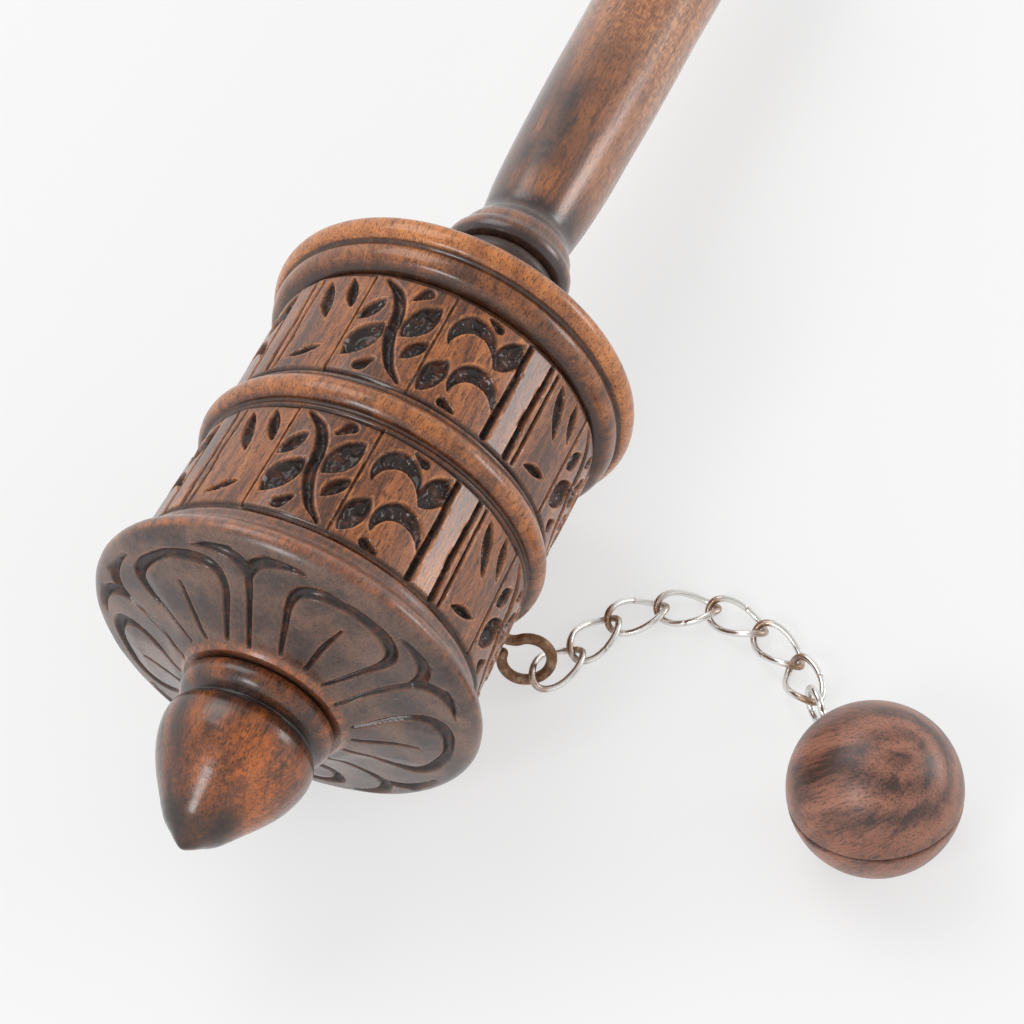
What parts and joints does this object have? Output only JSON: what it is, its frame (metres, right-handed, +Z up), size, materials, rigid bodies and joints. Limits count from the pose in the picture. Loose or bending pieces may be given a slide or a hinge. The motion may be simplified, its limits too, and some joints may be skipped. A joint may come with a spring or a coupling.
{
  "type": "hand prayer wheel",
  "caption": "Hand-held wooden prayer wheel lying on its side: turned handle, carved spinning drum, acorn finial and a wooden weight ball on a link chain.",
  "frame": {"origin": "centre of the handle's flat butt, on the spindle's axis", "axes": "+X along the spindle from the butt to the finial, +Z up with the wheel lying on its two rims, chain and weight on the +Y side"},
  "size_m": [0.2782, 0.1456, 0.0698],
  "materials": {
    "handle_wood": "oiled orange-brown hardwood with dark streaks",
    "drum_wood": "stained hardwood, rubbed back on the raised edges",
    "dark_wood": "dark stained hardwood, satin lacquer",
    "ball_wood": "reddish brown figured hardwood, satin",
    "steel": "bright wire, slightly tarnished",
    "rusty_iron": "bare iron wire with brown rust",
    "brass": "plain turned brass",
    "paper": "thin blank paper, wound tight",
    "yellow_cloth": "thin woven cloth",
    "red_thread": "twisted cotton thread",
    "card": "plain card tube"
  },
  "bodies": {
    "handle": {"handle": "handle_wood", "neck_spacer": "dark_wood", "spindle": "steel", "lower_washer": "brass"},
    "drum": {"drum_base": "drum_wood", "lower_bush": "brass", "drum_shell": "drum_wood", "screw_eye": "rusty_iron"},
    "lid": {"lid": "drum_wood", "upper_bush": "brass", "upper_washer": "brass"},
    "scroll": {"scroll_core": "card", "scroll_paper": "paper", "scroll_wrap": "yellow_cloth", "scroll_tie_lower": "red_thread", "scroll_tie_upper": "red_thread"},
    "finial": {"finial": "dark_wood", "finial_insert": "brass"},
    "link_1": {"chain_link_1": "steel"},
    "link_2": {"chain_link_2": "steel"},
    "link_3": {"chain_link_3": "steel"},
    "link_4": {"chain_link_4": "steel"},
    "link_5": {"chain_link_5": "steel"},
    "link_6": {"chain_link_6": "steel"},
    "link_7": {"chain_link_7": "steel"},
    "weight": {"weight_eye": "steel", "weight_ball": "ball_wood"}
  },
  "joints": [
    {"name": "drum_spin", "type": "hinge", "parent": "handle", "child": "drum", "pos_m": [0.206, 0, 0], "axis": [1, 0, 0], "continuous": true},
    {"name": "finial_off", "type": "slide", "parent": "handle", "child": "finial", "axis": [1, 0, 0], "range_m": [0, 0.12]},
    {"name": "lid_off", "type": "slide", "parent": "drum", "child": "lid", "axis": [1, 0, 0], "range_m": [0, 0.09]},
    {"name": "scroll_out", "type": "slide", "parent": "drum", "child": "scroll", "axis": [1, 0, 0], "range_m": [0, 0.06]},
    {"name": "link_1_swing", "type": "hinge", "parent": "drum", "child": "link_1", "pos_m": [0.2087, 0.03213, -0.032], "axis": [0, 0, 1], "range_deg": [-15, 20]},
    {"name": "link_2_lift", "type": "hinge", "parent": "link_1", "child": "link_2", "pos_m": [0.20005, 0.03616, -0.033], "axis": [0.375, 0.927, 0], "range_deg": [-25, 25]},
    {"name": "link_3_swing", "type": "hinge", "parent": "link_2", "child": "link_3", "pos_m": [0.19115, 0.03976, -0.033], "axis": [0, 0, 1], "range_deg": [-15, 20]},
    {"name": "link_4_lift", "type": "hinge", "parent": "link_3", "child": "link_4", "pos_m": [0.18485, 0.047, -0.033], "axis": [0.9338, 0.3579, 0], "range_deg": [-25, 25]},
    {"name": "link_5_swing", "type": "hinge", "parent": "link_4", "child": "link_5", "pos_m": [0.18141, 0.05597, -0.033], "axis": [0, 0, 1], "range_deg": [-15, 20]},
    {"name": "link_6_lift", "type": "hinge", "parent": "link_5", "child": "link_6", "pos_m": [0.18274, 0.06547, -0.033], "axis": [0.866, -0.5, 0], "range_deg": [-25, 25]},
    {"name": "link_7_swing", "type": "hinge", "parent": "link_6", "child": "link_7", "pos_m": [0.18753, 0.07377, -0.03234], "axis": [0, 0, 1], "range_deg": [-15, 20]},
    {"name": "weight_lift", "type": "hinge", "parent": "link_7", "child": "weight", "pos_m": [0.19518, 0.07893, -0.02969], "axis": [0.6596, -0.7516, 0], "range_deg": [-25, 25]}
  ],
  "couplings": [
    {"joint": "lid_off", "follows": "finial_off", "ratio": 0.75},
    {"joint": "scroll_out", "follows": "finial_off", "ratio": 0.5}
  ]
}
